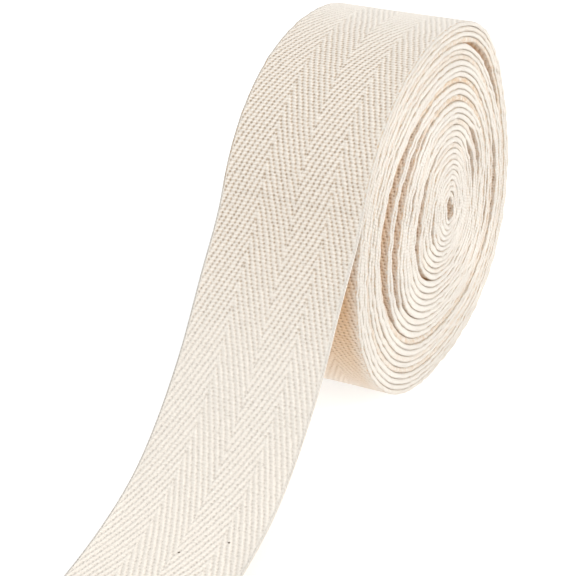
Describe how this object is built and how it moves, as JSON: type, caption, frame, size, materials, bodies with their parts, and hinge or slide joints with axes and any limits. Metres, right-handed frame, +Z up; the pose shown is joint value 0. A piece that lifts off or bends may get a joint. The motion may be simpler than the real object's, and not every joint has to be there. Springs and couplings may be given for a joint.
{
  "type": "roll of cotton twill tape",
  "caption": "Coreless roll of undyed cotton herringbone twill tape, loosely wound with open crescents between its turns, its outer end drawn off and down onto the table.",
  "frame": {"origin": "middle of the pressed flat on which the roll rests, on the table, halfway across the tape's width", "axes": "+X along the roll's axis, across the tape; -Y the way the loose end leads off; +Z up"},
  "size_m": [0.0387, 0.2283, 0.0996],
  "materials": {
    "rolled_tape": "matte undyed cotton, herringbone twill, selvedges seen on the roll's flat sides",
    "loose_tape": "matte undyed cotton, herringbone twill"
  },
  "bodies": {
    "root": {"wound_roll": "rolled_tape", "loose_end": "loose_tape"}
  },
  "joints": []
}
